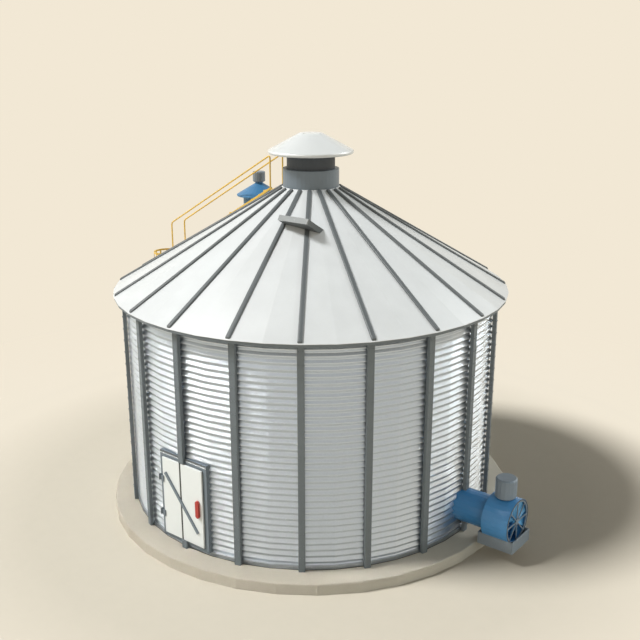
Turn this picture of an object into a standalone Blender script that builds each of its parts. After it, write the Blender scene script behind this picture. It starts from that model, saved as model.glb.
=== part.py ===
# Grain silo: corrugated steel bin on a round concrete slab, with a ribbed
# conical roof, a vented peak, a hinged door, an aeration fan, a roof hatch,
# a roof exhauster and a caged ladder that leads to a roof stair.
# Metres, +Z up. The origin is on the ground on the silo's axis, the door faces -Y.
import math

import bmesh
import bpy
from mathutils import Matrix, Vector

GAP = 0.0003

# Slab
SLAB_RADIUS = 5.176
SLAB_HEIGHT = 0.270
SLAB_SIDES = 36
SLAB_CHAMFER = 0.030

# Round wall: a polygon with two sides a bay, of sheet folded into level ridges
BAYS = 20
SIDES = 2 * BAYS
BAY_ANGLE = 360.0 / BAYS
SIDE_ANGLE = 360.0 / SIDES
WALL_RADIUS = 4.612
CORRUGATION_PITCH = 0.150
CORRUGATION_DEPTH = 0.056
RIDGE_HEIGHT = 0.4725
SHEET_THICKNESS = 0.014
WALL_INNER_RADIUS = WALL_RADIUS - CORRUGATION_DEPTH - SHEET_THICKNESS
BASE_RING_HEIGHT = 0.100
FRONT_WALL_END = 45.0
POST_FRONT_RADIUS = 4.702
POST_WIDTH = 0.150

# Roof
EAVE_RADIUS = 4.889
EAVE_HEIGHT = 5.636
ROOF_SLOPE = math.tan(math.radians(30.2))
ROOF_THICKNESS = 0.040
ROOF_HOLE_RADIUS = 0.600
EAVE_RING_RADIUS = 4.872
EAVE_RING_WIDTH = 0.030
EAVE_RING_BOTTOM = 5.563
RIB_WIDTH = 0.090
RIB_HEIGHT = 0.050
RIB_OUTER_RADIUS = 4.860
RIB_INNER_RADIUS = 0.710

# Peak
COLLAR_RADIUS = 0.690
COLLAR_TOP = 8.519
THROAT_RADIUS = 0.588
THROAT_WALL = 0.060
THROAT_FOOT = 8.250
CAP_RADIUS = 1.044
CAP_RIM_WIDTH = 0.060
CAP_RIM_BOTTOM = 8.870
CAP_RIM_TOP = 8.960
CAP_FLAT_RADIUS = 0.300
CAP_TOP = 9.360
CAP_THICKNESS = 0.045

# Door, centred on the post at azimuth 0
FRAME_HALF_WIDTH = 0.737
FRAME_BAR = 0.110
FRAME_TOP = 2.546
FRAME_HEAD = 0.136
FRAME_FRONT = 4.635
FRAME_BACK = 4.440
LEAF_HALF_WIDTH = 0.626
LEAF_BOTTOM = 0.480
LEAF_TOP = 2.405
LEAF_BACK = 4.642
LEAF_FRONT = 4.687
LEAF_JOINT_WIDTH = 0.045
LEAF_JOINT_DEPTH = 0.018
BRACE_LOW = (0.470, 0.813)
BRACE_HIGH = (-0.530, 2.046)
BRACE_WIDTH = 0.080
BRACE_THICKNESS = 0.030
HANDLE_X = 0.500
HANDLE_Z = 1.441
HANDLE_WIDTH = 0.100
HANDLE_HEIGHT = 0.430
HANDLE_THICKNESS = 0.060
HINGE_X = -0.660
HINGE_Y = -4.668
HINGE_HEIGHTS = (1.820, 0.940)
HINGE_HALF_HEIGHT = 0.065
HINGE_RADIUS = 0.025
HINGE_SIDES = 16
HINGE_WEB = 0.036
HINGE_HEAD_ROOM = 0.006
STRAP_LENGTH = 0.135
STRAP_THICKNESS = 0.016
STRAP_OFFSET = 0.009
PIN_RADIUS = 0.012
PIN_CLEARANCE = 0.0005
POST_TO_LEAF = 0.015
HANDLE_CHAMFER = 0.030

# Fan on the +X side, its axis along X through the post at azimuth 90
FAN_AXIS_HEIGHT = 0.967
FAN_FACE_X = 6.018
DRUM_RADIUS = 0.540
DRUM_BACK_X = 5.370
DRUM_WALL = 0.030
DRUM_SIDES = 32
CHAMBER_DEPTH = 0.230
GUARD_DEPTH = 0.025
WHEEL_CLEARANCE = 0.012
WHEEL_BLADES = 8
BLADE_STEPS = 3
BLADE_SPAN_ANGLE = 29.0
BLADE_DEPTH = 0.080
BLADE_THICKNESS = 0.014
WHEEL_HUB_RADIUS = 0.105
SHAFT_RADIUS = 0.030
SHAFT_LENGTH = 0.150
SHAFT_CLEARANCE = 0.0006
DUCT_RADIUS = 0.400
DUCT_START_X = 4.400
DUCT_SIDES = 24
FAN_BASE_BACK_X = 5.250
FAN_BASE_FRONT_X = 6.138
FAN_BASE_HALF_WIDTH = 0.475
FAN_BASE_BOTTOM = 0.350
FAN_BASE_TOP = 0.645
MOTOR_X = 5.684
MOTOR_RADIUS = 0.249
MOTOR_TOP = 1.990
MOTOR_FOOT = 1.505
MOTOR_SIDES = 16
MOTOR_CHAMFER = 0.030
SADDLE_SIZE = (0.300, 0.240, 0.200)
GUARD_RING_WIDTH = 0.035
GUARD_SPOKES = 8
GUARD_BAR = 0.024
GUARD_HUB_RADIUS = 0.060

# Roof stair on the -X side
STAIR_AZIMUTH = -90.0
STAIR_HALF_WIDTH = 0.240
STAIR_OUTER_RADIUS = 4.800
STAIR_INNER_RADIUS = 1.080
STRINGER_WIDTH = 0.050
STRINGER_DEPTH = 0.060
STRINGER_LIFT = 0.065
STRINGER_FOOT_RADII = (1.3, 2.5, 3.7, 4.6)
STRINGER_FOOT = (0.040, 0.060, 0.300)
TREAD_COUNT = 15
TREAD_DEPTH = 0.140
TREAD_THICKNESS = 0.024
HANDRAIL_HEIGHT = 0.920
HANDRAIL_RADIUS = 0.020
HANDRAIL_INSET = 0.028
HANDRAIL_BEND = 0.080

# Ladder and cage under the stair
LADDER_RADIUS = 5.020
LADDER_TOP = 5.640
STILE_WIDTH = 0.025
STILE_DEPTH = 0.050
RUNG_RADIUS = 0.015
RUNG_PITCH = 0.300
BRACKET_HEIGHTS = (1.2, 3.2, 5.2)
BRACKET_SIZE = 0.040
BRACKET_PLATE = (0.520, 0.030, 0.080)
CAGE_RADIUS = 0.360
CAGE_DEPTH = 0.260
CAGE_BOTTOM = 2.500
CAGE_TOP = 5.700
CAGE_HOOPS = 5
HOOP_STEPS = 12
BAND_THICKNESS = 0.012
HOOP_HEIGHT = 0.050
STRAP_WIDTH = 0.040
CAGE_STRAP_ANGLES = (-84, -45, -13, 13, 45, 84)

# Roof hatch: a housing whose back runs into the roof and whose front stands clear of it
HATCH_MIDDLE_X = 0.984
HATCH_FRONT_Y = -1.851
HATCH_FRONT_Z = 7.705
HATCH_WIDTH = 0.841
HATCH_THICKNESS = 0.131
HATCH_REACH = 0.900
HATCH_LIP = 0.040
HATCH_SHEET = 0.005
HATCH_INSET = 0.020

# Roof exhauster: an upright round housing under a conical cap with a motor on top
VENT_AZIMUTH = -110.4
VENT_RADIUS = 2.723
VENT_SIDES = 24
VENT_BODY_RADIUS = 0.430
VENT_CAP_RADIUS = 0.605
VENT_RIM = 7.497
VENT_RIM_THICKNESS = 0.030
VENT_CONE_HEIGHT = 0.362
VENT_NECK_RADIUS = 0.108
VENT_MOTOR_RADIUS = 0.167
VENT_MOTOR_FOOT = 0.338
VENT_MOTOR_TOP = 0.612
VENT_MOTOR_CHAMFER = 0.018


def clear_scene():
    for thing in list(bpy.data.objects):
        bpy.data.objects.remove(thing, do_unlink=True)


def material(name, colour, roughness, metallic=0.0):
    made = bpy.data.materials.get(name) or bpy.data.materials.new(name)
    made.use_nodes = True
    shader = made.node_tree.nodes["Principled BSDF"]
    shader.inputs["Base Color"].default_value = (*colour, 1.0)
    shader.inputs["Roughness"].default_value = roughness
    shader.inputs["Metallic"].default_value = metallic
    return made


def concrete():
    return material("concrete", (0.60, 0.57, 0.52), 0.9)


def galvanised():
    return material("galvanised_sheet", (0.72, 0.74, 0.75), 0.4, 0.6)


def white_roof():
    return material("white_roof_sheet", (0.80, 0.82, 0.82), 0.4)


def white_paint():
    return material("white_paint", (0.86, 0.86, 0.86), 0.35)


def grey_steel():
    return material("grey_steel", (0.15, 0.17, 0.17), 0.5)


def dark_steel():
    return material("dark_steel", (0.06, 0.06, 0.06), 0.6)


def yellow_paint():
    return material("yellow_paint", (0.80, 0.42, 0.06), 0.4)


def blue_paint():
    return material("blue_paint", (0.06, 0.20, 0.38), 0.4)


def red_paint():
    return material("red_paint", (0.50, 0.05, 0.04), 0.4)


def polar(radius, azimuth):
    """A point in plan: azimuth 0 is -Y, 90 is +X."""
    turn = math.radians(azimuth)
    return (radius * math.sin(turn), -radius * math.cos(turn))


def roof_height(radius):
    """Height of the roof sheet's top along a polygon corner."""
    return EAVE_HEIGHT + (EAVE_RADIUS - radius) * ROOF_SLOPE


def roof_underside(radius):
    return roof_height(radius) - ROOF_THICKNESS


def finish(shape):
    """Turns the faces of a closed shape outwards."""
    bmesh.ops.recalc_face_normals(shape, faces=shape.faces)
    return shape


def to_mesh(shape, name):
    made = bpy.data.meshes.new(name)
    shape.to_mesh(made)
    shape.free()
    return made


def piece(name, shape, look):
    """Object from a bmesh, smooth between sharp edges, with its own material."""
    made = to_mesh(finish(shape), name)
    made.shade_smooth()
    made.set_sharp_from_angle(angle=math.radians(25))
    thing = bpy.data.objects.new(name, made)
    thing.data.materials.append(look)
    bpy.context.collection.objects.link(thing)
    return thing


def prism(outline, low, high):
    """Plan outline extruded from height low to high."""
    shape = bmesh.new()
    bottom = [shape.verts.new((x, y, low)) for x, y in outline]
    top = [shape.verts.new((x, y, high)) for x, y in outline]
    shape.faces.new(bottom)
    shape.faces.new(top)
    count = len(outline)
    for i in range(count):
        j = (i + 1) % count
        shape.faces.new((bottom[i], bottom[j], top[j], top[i]))
    return finish(shape)


def turned(profile, sides):
    """Closed profile of (radius, height) turned about Z; the corners sit at whole steps."""
    shape = bmesh.new()
    rings = []
    for radius, height in profile:
        if radius < 1e-6:
            rings.append([shape.verts.new((0, 0, height))])
            continue
        corners = [polar(radius, 360.0 * i / sides) for i in range(sides)]
        rings.append([shape.verts.new((x, y, height)) for x, y in corners])
    count = len(profile)
    for k in range(count):
        low, high = rings[k], rings[(k + 1) % count]
        if len(low) == 1 and len(high) == 1:
            continue
        for i in range(sides):
            j = (i + 1) % sides
            corners = [low[i % len(low)], low[j % len(low)], high[j % len(high)], high[i % len(high)]]
            unique = list(dict.fromkeys(corners))
            shape.faces.new(unique)
    return finish(shape)


def box(size, centre, turn=None):
    """A box of the given size, turned about its own middle and moved to centre."""
    shape = bmesh.new()
    bmesh.ops.create_cube(shape, size=1.0)
    bmesh.ops.scale(shape, vec=size, verts=shape.verts)
    if turn is not None:
        bmesh.ops.transform(shape, matrix=turn, verts=shape.verts)
    bmesh.ops.translate(shape, vec=centre, verts=shape.verts)
    return shape


def rod(start, end, radius, sides=8):
    """A straight round bar from start to end."""
    start, end = Vector(start), Vector(end)
    along = end - start
    shape = bmesh.new()
    bmesh.ops.create_cone(
        shape, cap_ends=True, segments=sides, radius1=radius, radius2=radius, depth=along.length
    )
    turn = along.to_track_quat("Z", "Y").to_matrix().to_4x4()
    bmesh.ops.transform(shape, matrix=Matrix.Translation((start + end) / 2) @ turn, verts=shape.verts)
    return shape


def moved(shape, matrix):
    bmesh.ops.transform(shape, matrix=matrix, verts=shape.verts)
    return shape


def around(azimuth):
    """Turns a shape made at azimuth 0 to the given azimuth."""
    return Matrix.Rotation(math.radians(azimuth), 4, "Z")


def joined(shapes):
    """Several bmeshes in one, still separate bodies."""
    whole = bmesh.new()
    for shape in shapes:
        scratch = to_mesh(shape, "scratch")
        whole.from_mesh(scratch)
        bpy.data.meshes.remove(scratch)
    return whole


def combine(base, others, operation):
    """Exact Boolean of a base bmesh with a list of others, applied, as a new bmesh."""
    target = bpy.data.objects.new("target", to_mesh(finish(base), "target"))
    tool = bpy.data.objects.new("tool", to_mesh(joined([finish(other) for other in others]), "tool"))
    for thing in (target, tool):
        bpy.context.collection.objects.link(thing)
    cut = target.modifiers.new("combine", "BOOLEAN")
    cut.operation = operation
    cut.solver = "EXACT"
    cut.use_self = True
    cut.object = tool
    evaluated = target.evaluated_get(bpy.context.evaluated_depsgraph_get())
    result = bmesh.new()
    result.from_mesh(evaluated.to_mesh())
    evaluated.to_mesh_clear()
    for thing in (target, tool):
        data = thing.data
        bpy.data.objects.remove(thing, do_unlink=True)
        bpy.data.meshes.remove(data)
    bmesh.ops.remove_doubles(result, verts=result.verts, dist=0.00001)
    bmesh.ops.dissolve_limit(
        result, angle_limit=math.radians(0.05), verts=result.verts, edges=result.edges
    )
    return result


def union(base, others):
    return combine(base, others, "UNION")


def difference(base, others):
    return combine(base, others, "DIFFERENCE")


def side_point(radius, x):
    """Point of the front polygon of this corner radius at the given x."""
    step = SIDE_ANGLE * (1 if x > 0 else -1)
    corner = 0
    while abs(polar(radius, corner + step)[0]) < abs(x):
        corner += step
    (x0, y0), (x1, y1) = polar(radius, corner), polar(radius, corner + step)
    share = (x - x0) / (x1 - x0)
    return (x, y0 + share * (y1 - y0))


def corner_azimuths(start, end):
    """Polygon corners from start to end, both included, both at whole sides."""
    count = round((end - start) / SIDE_ANGLE)
    return [start + SIDE_ANGLE * i for i in range(count + 1)]


def slab():
    profile = [
        (0.0, 0.0),
        (SLAB_RADIUS, 0.0),
        (SLAB_RADIUS, SLAB_HEIGHT - SLAB_CHAMFER),
        (SLAB_RADIUS - SLAB_CHAMFER, SLAB_HEIGHT),
        (0.0, SLAB_HEIGHT),
    ]
    piece("foundation_slab", turned(profile, SLAB_SIDES), concrete())


def base_ring():
    low, high = SLAB_HEIGHT + GAP, SLAB_HEIGHT + BASE_RING_HEIGHT
    profile = [
        (WALL_INNER_RADIUS, low),
        (WALL_RADIUS, low),
        (WALL_RADIUS, high),
        (WALL_INNER_RADIUS, high),
    ]
    piece("base_ring", turned(profile, SIDES), grey_steel())


def wall_heights():
    return SLAB_HEIGHT + BASE_RING_HEIGHT + GAP, roof_underside(WALL_RADIUS) - GAP


def outer_radius(height):
    """Outer radius of the folded sheet, which has its lowest ridge at the ridge height."""
    phase = (height - RIDGE_HEIGHT) / CORRUGATION_PITCH % 1.0
    return WALL_RADIUS - CORRUGATION_DEPTH * (1.0 - abs(2.0 * phase - 1.0))


def fold_heights(low, high):
    """The two heights and every fold between them."""
    step = CORRUGATION_PITCH / 2
    first = math.floor((low - RIDGE_HEIGHT) / step) + 1
    last = math.ceil((high - RIDGE_HEIGHT) / step)
    return [low] + [RIDGE_HEIGHT + step * i for i in range(first, last)] + [high]


def corner_column(azimuth):
    return lambda radius: polar(radius, azimuth)


def door_column(x):
    return lambda radius: side_point(radius, x)


def folded_sheet(name, columns, low, high):
    """Corrugated sheet through upright columns; each gives its plan point for a radius."""
    shape = bmesh.new()
    heights = fold_heights(low, high)
    skins = []
    for inset in (0.0, SHEET_THICKNESS):
        rows = [
            [shape.verts.new((*column(outer_radius(z) - inset), z)) for z in heights] for column in columns
        ]
        skins.append(rows)
        for near, far in zip(rows, rows[1:]):
            for i in range(len(heights) - 1):
                shape.faces.new((near[i], far[i], far[i + 1], near[i + 1]))
    outer, inner = skins
    for k in (0, -1):
        for i in range(len(heights) - 1):
            shape.faces.new((outer[k][i], inner[k][i], inner[k][i + 1], outer[k][i + 1]))
        for i in range(len(columns) - 1):
            shape.faces.new((outer[i][k], inner[i][k], inner[i + 1][k], outer[i + 1][k]))
    piece(name, shape, galvanised())


def wall_sector(name, start, end):
    """A round stretch of wall between two azimuths; its ends leave half a gap."""
    trim = math.degrees(GAP / 2 / WALL_RADIUS)
    azimuths = corner_azimuths(start, end)
    azimuths[0] += trim
    azimuths[-1] -= trim
    folded_sheet(name, [corner_column(a) for a in azimuths], *wall_heights())


def wall_beside_door(name, side):
    """A stretch of wall that stops square at the door frame's side; side is -1 or 1."""
    azimuths = [side * a for a in corner_azimuths(2 * SIDE_ANGLE, FRONT_WALL_END)]
    azimuths[-1] -= side * math.degrees(GAP / 2 / WALL_RADIUS)
    columns = [door_column(side * (FRAME_HALF_WIDTH + GAP))] + [corner_column(a) for a in azimuths]
    folded_sheet(name, columns, *wall_heights())


def wall_over_door():
    corners = [corner_column(a) for a in (-SIDE_ANGLE, 0.0, SIDE_ANGLE)]
    columns = [door_column(-FRAME_HALF_WIDTH)] + corners + [door_column(FRAME_HALF_WIDTH)]
    folded_sheet("wall_over_door", columns, FRAME_TOP + GAP, wall_heights()[1])


def walls():
    wall_beside_door("wall_front_left", -1)
    wall_beside_door("wall_front_right", 1)
    wall_over_door()
    for i, name in enumerate(("wall_right", "wall_back", "wall_left")):
        start = FRONT_WALL_END + 90.0 * i
        wall_sector(name, start, start + 90.0)


def side_profile(outline, half_width):
    """Outline of (distance from the axis, height) at azimuth 0, extruded across by the half width."""
    shape = bmesh.new()
    near = [shape.verts.new((-half_width, -r, z)) for r, z in outline]
    far = [shape.verts.new((half_width, -r, z)) for r, z in outline]
    shape.faces.new(near)
    shape.faces.new(far)
    count = len(outline)
    for i in range(count):
        j = (i + 1) % count
        shape.faces.new((near[i], near[j], far[j], far[i]))
    return finish(shape)


def post_top():
    """The post's front corners stand a little outside the bay line's polygon corner."""
    corner = POST_FRONT_RADIUS + POST_WIDTH / 2 * math.tan(math.radians(SIDE_ANGLE / 2))
    return roof_underside(corner) - GAP


def post_outline(bottom):
    back, front, top = WALL_RADIUS + GAP, POST_FRONT_RADIUS, post_top()
    return [(back, bottom), (front, bottom), (front, top), (back, top)]


def posts():
    """A stiffener post at every bay line; the door interrupts the one at azimuth 0."""
    half = POST_WIDTH / 2
    foot = SLAB_HEIGHT + GAP
    for i in range(1, BAYS):
        shape = side_profile(post_outline(foot), half)
        piece(f"wall_post_{i:02d}", moved(shape, around(i * BAY_ANGLE)), grey_steel())
    back, front, top = WALL_RADIUS + GAP, POST_FRONT_RADIUS, post_top()
    lip = FRAME_FRONT + GAP
    over_frame = FRAME_TOP + GAP
    lower = LEAF_TOP + POST_TO_LEAF
    upper_post = [
        (lip, lower), (front, lower), (front, top), (back, top), (back, over_frame), (lip, over_frame)
    ]
    piece("wall_post_over_door", side_profile(upper_post, half), grey_steel())
    under_frame = frame_foot() - GAP
    stub_top = LEAF_BOTTOM - POST_TO_LEAF
    stub = [
        (back, foot), (front, foot), (front, stub_top), (lip, stub_top), (lip, under_frame),
        (back, under_frame),
    ]
    piece("wall_post_foot_at_door", side_profile(stub, half), grey_steel())


def frame_foot():
    """The door frame stands on the base ring."""
    return SLAB_HEIGHT + BASE_RING_HEIGHT + GAP


def roof():
    """Conical sheet roof with a raised rib over every post, one body."""
    top_hole = roof_height(ROOF_HOLE_RADIUS)
    profile = [
        (ROOF_HOLE_RADIUS, top_hole - ROOF_THICKNESS),
        (EAVE_RADIUS, EAVE_HEIGHT - ROOF_THICKNESS),
        (EAVE_RADIUS, EAVE_HEIGHT),
        (ROOF_HOLE_RADIUS, top_hole),
    ]
    ribs = []
    sunk = ROOF_THICKNESS / 2
    for i in range(BAYS):
        outline = [
            (RIB_INNER_RADIUS, roof_height(RIB_INNER_RADIUS) - sunk),
            (RIB_OUTER_RADIUS, roof_height(RIB_OUTER_RADIUS) - sunk),
            (RIB_OUTER_RADIUS, roof_height(RIB_OUTER_RADIUS) + RIB_HEIGHT),
            (RIB_INNER_RADIUS, roof_height(RIB_INNER_RADIUS) + RIB_HEIGHT),
        ]
        ribs.append(moved(side_profile(outline, RIB_WIDTH / 2), around(i * BAY_ANGLE)))
    piece("roof", union(turned(profile, SIDES), ribs), white_roof())


def eave_ring():
    """Band that hangs under the roof's edge, all round."""
    inner = EAVE_RING_RADIUS - EAVE_RING_WIDTH
    profile = [
        (inner, EAVE_RING_BOTTOM),
        (EAVE_RING_RADIUS, EAVE_RING_BOTTOM),
        (EAVE_RING_RADIUS, roof_underside(EAVE_RING_RADIUS) - GAP),
        (inner, roof_underside(inner) - GAP),
    ]
    piece("eave_ring", turned(profile, SIDES), grey_steel())


def cap_underside(radius):
    """Height of the cap's inner cone at a radius."""
    slope = (CAP_TOP - CAP_RIM_TOP) / (CAP_RADIUS - CAP_FLAT_RADIUS)
    return CAP_TOP - CAP_THICKNESS - (radius - CAP_FLAT_RADIUS) * slope


def peak():
    """Collar on the roof sheet, throat through it and the cap on the throat."""
    inner = THROAT_RADIUS + GAP
    seat = roof_height(ROOF_HOLE_RADIUS) + GAP
    collar = [
        (inner, seat),
        (ROOF_HOLE_RADIUS, seat),
        (COLLAR_RADIUS, roof_height(COLLAR_RADIUS) + GAP),
        (COLLAR_RADIUS, COLLAR_TOP),
        (inner, COLLAR_TOP),
    ]
    piece("peak_collar", turned(collar, SIDES), grey_steel())
    bore = THROAT_RADIUS - THROAT_WALL
    throat = [
        (bore, THROAT_FOOT),
        (THROAT_RADIUS, THROAT_FOOT),
        (THROAT_RADIUS, cap_underside(THROAT_RADIUS) - GAP),
        (bore, cap_underside(bore) - GAP),
    ]
    piece("peak_throat", turned(throat, SIDES), dark_steel())
    rim_inner = CAP_RADIUS - CAP_RIM_WIDTH
    cap = [
        (0.0, CAP_TOP - CAP_THICKNESS),
        (CAP_FLAT_RADIUS, CAP_TOP - CAP_THICKNESS),
        (rim_inner, cap_underside(rim_inner)),
        (rim_inner, CAP_RIM_BOTTOM),
        (CAP_RADIUS, CAP_RIM_BOTTOM),
        (CAP_RADIUS, CAP_RIM_TOP),
        (CAP_FLAT_RADIUS, CAP_TOP),
        (0.0, CAP_TOP),
    ]
    piece("peak_cap", turned(cap, SIDES), white_paint())


def door_frame():
    """Casing in the wall with one pintle block and pin for each hinge."""
    foot = frame_foot()
    depth = FRAME_FRONT - FRAME_BACK
    middle_y = -(FRAME_FRONT + FRAME_BACK) / 2
    outer = box(
        (2 * FRAME_HALF_WIDTH, depth, FRAME_TOP - foot), (0, middle_y, (FRAME_TOP + foot) / 2)
    )
    clear_half = FRAME_HALF_WIDTH - FRAME_BAR
    low, high = foot + FRAME_BAR, FRAME_TOP - FRAME_HEAD
    hole = box((2 * clear_half, depth * 2, high - low), (0, middle_y, (low + high) / 2))
    pintles = []
    for height in HINGE_HEIGHTS:
        pintles.extend(pintle(height))
    piece("door_frame", union(difference(outer, [hole]), pintles), grey_steel())


def pintle(height):
    """Block, web into the frame and pin of one hinge; the block ends just under the given height."""
    low, top = height - HINGE_HALF_HEIGHT, height - PIN_CLEARANCE
    web_depth = -HINGE_Y - FRAME_FRONT + PIN_RADIUS
    web_middle = (HINGE_X, HINGE_Y + web_depth / 2, (low + top) / 2)
    block_ends = ((HINGE_X, HINGE_Y, low), (HINGE_X, HINGE_Y, top))
    pin_ends = ((HINGE_X, HINGE_Y, low + PIN_RADIUS), (HINGE_X, HINGE_Y, height + HINGE_HALF_HEIGHT))
    return [
        rod(*block_ends, HINGE_RADIUS, HINGE_SIDES),
        box((HINGE_WEB, web_depth, top - low), web_middle),
        rod(*pin_ends, PIN_RADIUS, HINGE_SIDES),
    ]


def door_leaf():
    """Leaf of two flat panels with a joint between them, hung on two eyes."""
    middle_y = -(LEAF_BACK + LEAF_FRONT) / 2
    height = LEAF_TOP - LEAF_BOTTOM
    middle_z = (LEAF_TOP + LEAF_BOTTOM) / 2
    leaf = box((2 * LEAF_HALF_WIDTH, LEAF_FRONT - LEAF_BACK, height), (0, middle_y, middle_z))
    joint = box((LEAF_JOINT_WIDTH, 2 * LEAF_JOINT_DEPTH, 2 * height), (0, -LEAF_FRONT, middle_z))
    eyes, bores = [], []
    for centre in HINGE_HEIGHTS:
        low, top = centre + PIN_CLEARANCE, centre + HINGE_HALF_HEIGHT - HINGE_HEAD_ROOM
        eyes.append(rod((HINGE_X, HINGE_Y, low), (HINGE_X, HINGE_Y, top), HINGE_RADIUS, HINGE_SIDES))
        strap_start = HINGE_X + (HINGE_RADIUS + PIN_RADIUS) / 2
        strap_middle = (strap_start + STRAP_LENGTH / 2, HINGE_Y - STRAP_OFFSET, (top + low) / 2)
        eyes.append(box((STRAP_LENGTH, STRAP_THICKNESS, top - low), strap_middle))
        bore_low, bore_top = centre - HINGE_HALF_HEIGHT, centre + 2 * HINGE_HALF_HEIGHT
        bore_ends = ((HINGE_X, HINGE_Y, bore_low), (HINGE_X, HINGE_Y, bore_top))
        bores.append(rod(*bore_ends, PIN_RADIUS + PIN_CLEARANCE, HINGE_SIDES))
    shape = union(difference(leaf, [joint]), eyes)
    shape = difference(shape, bores)
    thing = piece("door_leaf", shape, white_paint())
    set_origin(thing, (HINGE_X, HINGE_Y, 0.0))
    door_furniture(thing)


def set_origin(thing, place):
    """Moves an object's origin to a place and keeps its mesh where it is."""
    thing.data.transform(Matrix.Translation(-Vector(place)))
    thing.location = place


def door_furniture(leaf):
    """Diagonal brace and pull handle on the leaf's front."""
    face = -(LEAF_FRONT + GAP)
    low, high = Vector((BRACE_LOW[0], 0, BRACE_LOW[1])), Vector((BRACE_HIGH[0], 0, BRACE_HIGH[1]))
    along = high - low
    lean = Matrix.Rotation(-math.atan2(along.z, along.x), 4, "Y")
    centre = (low + high) / 2
    centre.y = face - BRACE_THICKNESS / 2
    brace = piece(
        "door_brace", box((along.length, BRACE_THICKNESS, BRACE_WIDTH), centre, lean), dark_steel()
    )
    chamfer = HANDLE_CHAMFER
    half_w, half_h = HANDLE_WIDTH / 2, HANDLE_HEIGHT / 2
    outline = [
        (-half_w, -half_h + chamfer), (-half_w + chamfer, -half_h), (half_w - chamfer, -half_h),
        (half_w, -half_h + chamfer), (half_w, half_h - chamfer), (half_w - chamfer, half_h),
        (-half_w + chamfer, half_h), (-half_w, half_h - chamfer)
    ]
    flat = prism(outline, 0.0, HANDLE_THICKNESS)
    stand = Matrix.Translation((HANDLE_X, face, HANDLE_Z)) @ Matrix.Rotation(math.radians(90), 4, "X")
    handle = piece("door_handle", moved(flat, stand), red_paint())
    for thing in (brace, handle):
        thing.parent = leaf
        thing.matrix_parent_inverse = Matrix.Translation(-Vector(leaf.location))


def along_x(shape, x=0.0):
    """Lays a shape turned about Z down along +X at the fan's height, its top towards +X."""
    lay = Matrix.Translation((x, 0, FAN_AXIS_HEIGHT)) @ Matrix.Rotation(math.radians(90), 4, "Y")
    return moved(shape, lay)


def fan():
    """Fan housing with a bladed wheel in its open face, on a duct from the wall."""
    fan_duct()
    fan_drum()
    fan_base()
    fan_motor()
    fan_grille()
    fan_wheel()


def fan_drum():
    """Drum with a chamber in its face and the wheel's shaft in the chamber's middle."""
    floor = FAN_FACE_X - CHAMBER_DEPTH
    profile = [
        (0.0, DRUM_BACK_X),
        (DRUM_RADIUS, DRUM_BACK_X),
        (DRUM_RADIUS, FAN_FACE_X),
        (DRUM_RADIUS - DRUM_WALL, FAN_FACE_X),
        (DRUM_RADIUS - DRUM_WALL, floor),
        (SHAFT_RADIUS, floor),
        (SHAFT_RADIUS, floor + SHAFT_LENGTH),
        (0.0, floor + SHAFT_LENGTH),
    ]
    piece("fan_drum", along_x(turned(profile, DRUM_SIDES)), blue_paint())


def fan_duct():
    """Round duct that meets the folded wall on both sides of the post, which stands in a notch."""
    start, end = DUCT_START_X, DRUM_BACK_X - GAP
    round_bar = turned([(0.0, start), (DUCT_RADIUS, start), (DUCT_RADIUS, end), (0.0, end)], DUCT_SIDES)
    low, high = FAN_AXIS_HEIGHT - DRUM_RADIUS, FAN_AXIS_HEIGHT + DRUM_RADIUS
    folds = [(outer_radius(z) + GAP, z) for z in fold_heights(low, high)]
    wall = turned([(0.0, low)] + folds + [(0.0, high)], SIDES)
    half, front = POST_WIDTH / 2 + GAP, POST_FRONT_RADIUS + GAP
    post = prism([(0, -half), (front, -half), (front, half), (0, half)], low, high)
    piece("fan_duct", difference(along_x(round_bar), [wall, post]), blue_paint())


def drum_cutter():
    """The drum's round with a gap all about, longer than the drum's base."""
    fit = DRUM_RADIUS + GAP
    back, front = FAN_BASE_BACK_X - DRUM_RADIUS, FAN_BASE_FRONT_X + DRUM_RADIUS
    return along_x(turned([(0.0, back), (fit, back), (fit, front), (0.0, front)], DRUM_SIDES))


def fan_base():
    """Block hollowed to the drum's round, so that the drum lies in it."""
    length = FAN_BASE_FRONT_X - FAN_BASE_BACK_X
    height = FAN_BASE_TOP - FAN_BASE_BOTTOM
    centre = (
        (FAN_BASE_FRONT_X + FAN_BASE_BACK_X) / 2, 0, (FAN_BASE_TOP + FAN_BASE_BOTTOM) / 2
    )
    block = box((length, 2 * FAN_BASE_HALF_WIDTH, height), centre)
    piece("fan_base", difference(block, [drum_cutter()]), grey_steel())


def fan_motor():
    """Upright motor can on a saddle that fits the drum."""
    profile = chamfered(MOTOR_RADIUS, MOTOR_FOOT, MOTOR_TOP, MOTOR_CHAMFER)
    body = moved(turned(profile, MOTOR_SIDES), Matrix.Translation((MOTOR_X, 0, 0)))
    saddle = box(SADDLE_SIZE, (MOTOR_X, 0, FAN_AXIS_HEIGHT + DRUM_RADIUS))
    piece("fan_motor", difference(union(body, [saddle]), [drum_cutter()]), grey_steel())


def chamfered(radius, low, high, chamfer):
    """Profile of an upright can with both rims chamfered."""
    return [
        (0.0, low), (radius - chamfer, low), (radius, low + chamfer), (radius, high - chamfer),
        (radius - chamfer, high), (0.0, high),
    ]


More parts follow.
